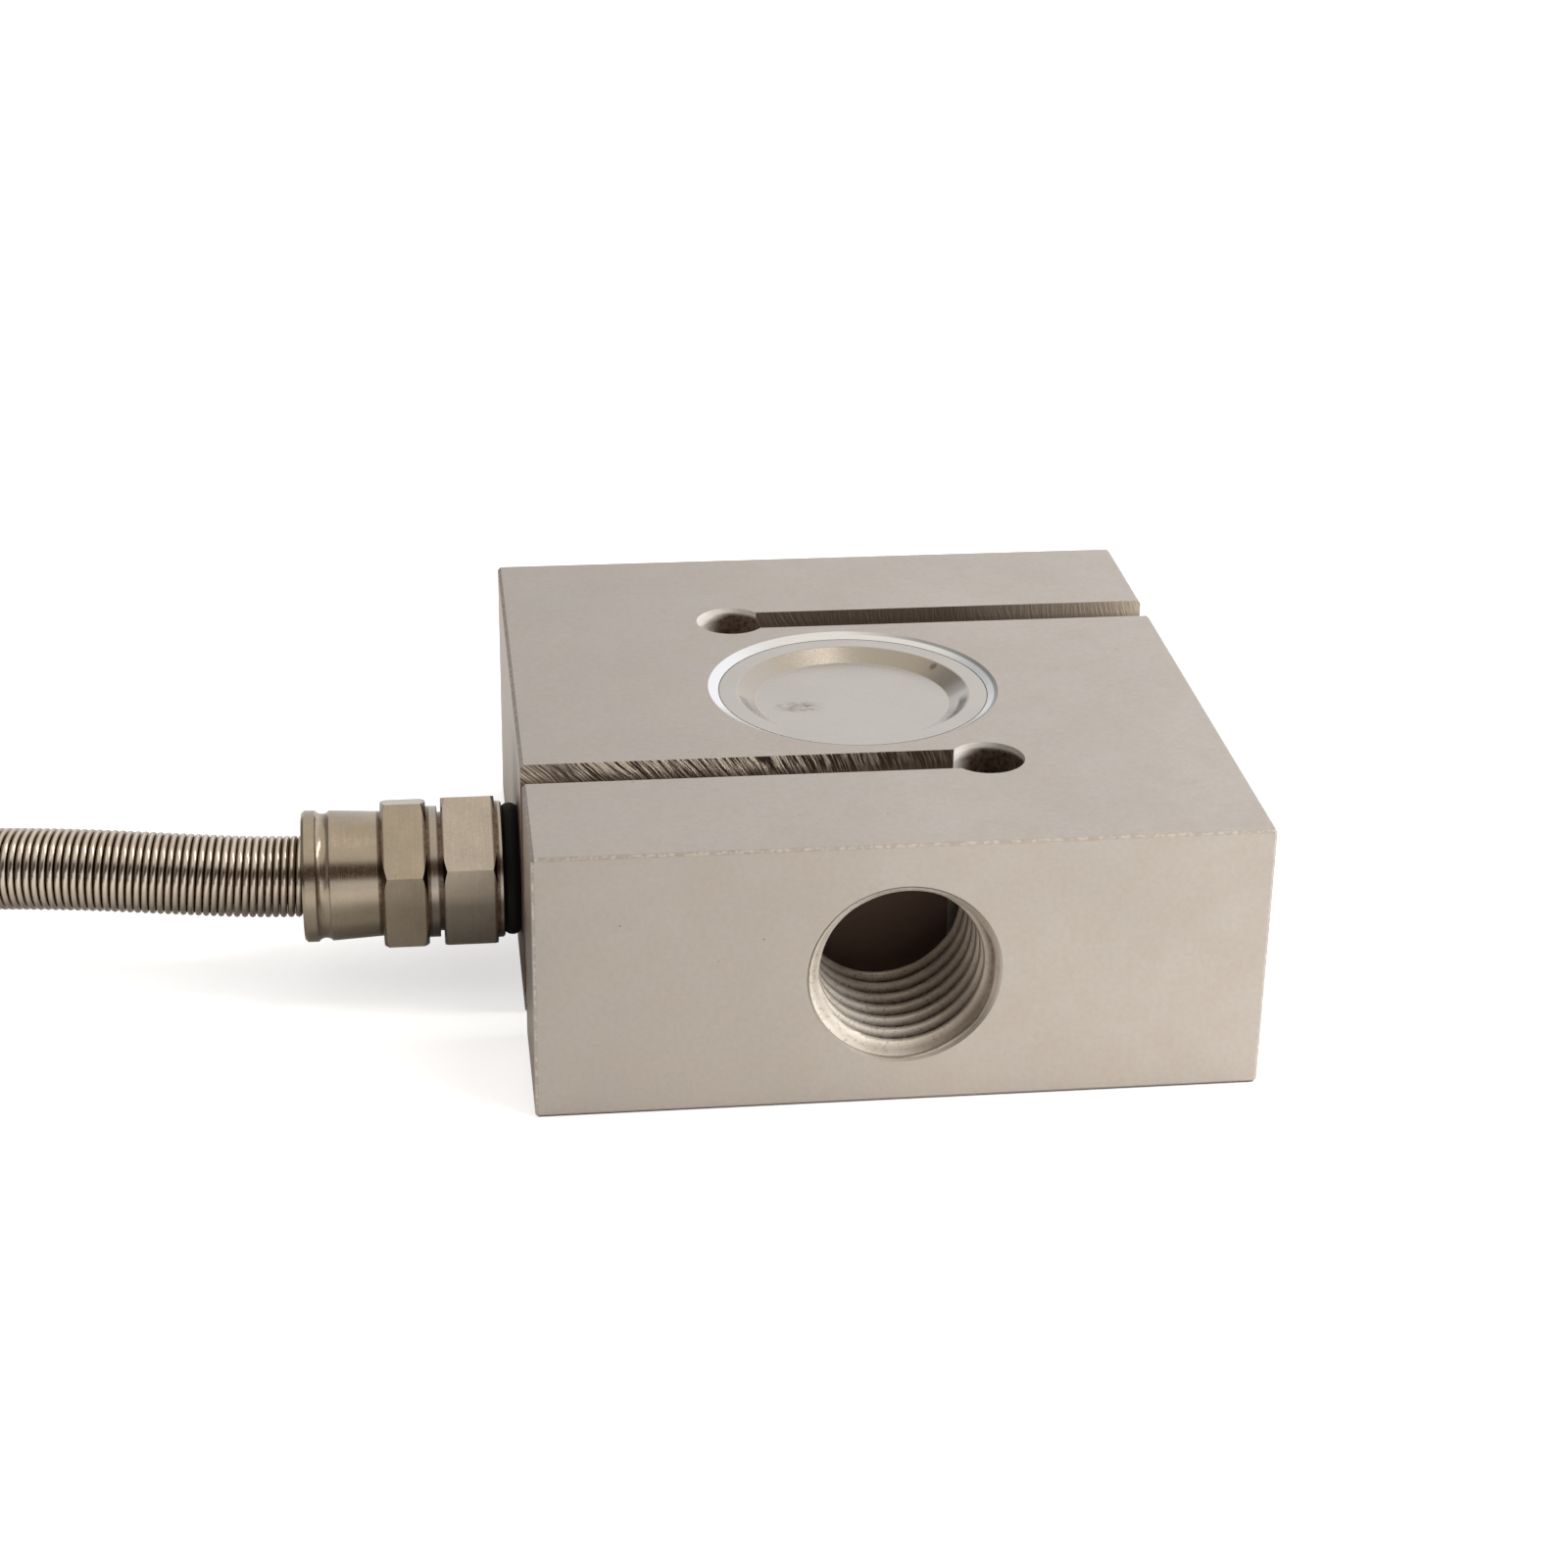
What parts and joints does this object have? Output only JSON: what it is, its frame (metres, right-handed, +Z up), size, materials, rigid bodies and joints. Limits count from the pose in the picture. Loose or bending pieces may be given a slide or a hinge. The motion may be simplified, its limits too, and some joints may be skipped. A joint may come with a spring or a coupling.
{
  "type": "s-type load cell",
  "caption": "S-shaped steel force sensor with threaded load holes through both limbs, round covers over its gauge pockets and a cable gland with a spring sleeve at one side.",
  "frame": {"origin": "centre of the block's underside, as it lies on one side", "axes": "+X across the block and away from the cable, +Y along the load axis away from the front threaded hole, +Z up through the block's thickness"},
  "size_m": [0.2212, 0.0886, 0.024],
  "materials": {
    "plated_steel": "matt nickel plate",
    "cover_metal": "satin",
    "adhesive": "matt",
    "gauge_film": "amber film",
    "gauge_foil": "etched foil",
    "circuit_board": "resin board",
    "solder": "tinned",
    "resistor_body": "matt",
    "red_insulation": "semi-gloss",
    "green_insulation": "semi-gloss",
    "white_insulation": "semi-gloss",
    "black_insulation": "semi-gloss",
    "shield_sleeving": "semi-gloss",
    "enamelled_wire": "enamelled",
    "seal_rubber": "matt",
    "plated_gland": "bright nickel plate",
    "washer_metal": "satin",
    "cable_jacket": "satin",
    "spring_wire": "bright nickel plate",
    "tie_plastic": "natural nylon",
    "shrink_sleeve": "satin"
  },
  "bodies": {
    "root": {"s_beam_body": "plated_steel", "top_cover": "cover_metal", "bottom_cover": "cover_metal", "top_cover_bond": "adhesive", "bottom_cover_bond": "adhesive", "top_gauge_backing": "gauge_film", "bottom_gauge_backing": "gauge_film", "top_gauge_foil": "gauge_foil", "bottom_gauge_foil": "gauge_foil", "upper_terminal_strip": "circuit_board", "lower_terminal_strip": "circuit_board", "upper_strip_pads": "solder", "lower_strip_pads": "solder", "compensation_board": "circuit_board", "compensation_resistors": "resistor_body", "core_red": "red_insulation", "core_green": "green_insulation", "core_white": "white_insulation", "core_black": "black_insulation", "strip_link_wires": "white_insulation", "top_gauge_jumpers": "enamelled_wire", "bottom_gauge_jumpers": "enamelled_wire", "face_seal": "seal_rubber", "gland_body": "plated_gland", "grommet": "seal_rubber", "thrust_washer": "washer_metal", "gland_nut": "plated_gland", "clamped_cable": "cable_jacket", "sensor_cable": "cable_jacket", "spring_sleeve": "spring_wire", "cable_coil": "cable_jacket", "coil_tie_plain": "tie_plastic", "coil_tie_tail": "tie_plastic", "end_sleeve": "shrink_sleeve", "lead_red": "red_insulation", "lead_green": "green_insulation", "lead_white": "white_insulation", "lead_black": "black_insulation", "lead_shield": "shield_sleeving", "lead_tips": "solder"}
  },
  "joints": []
}
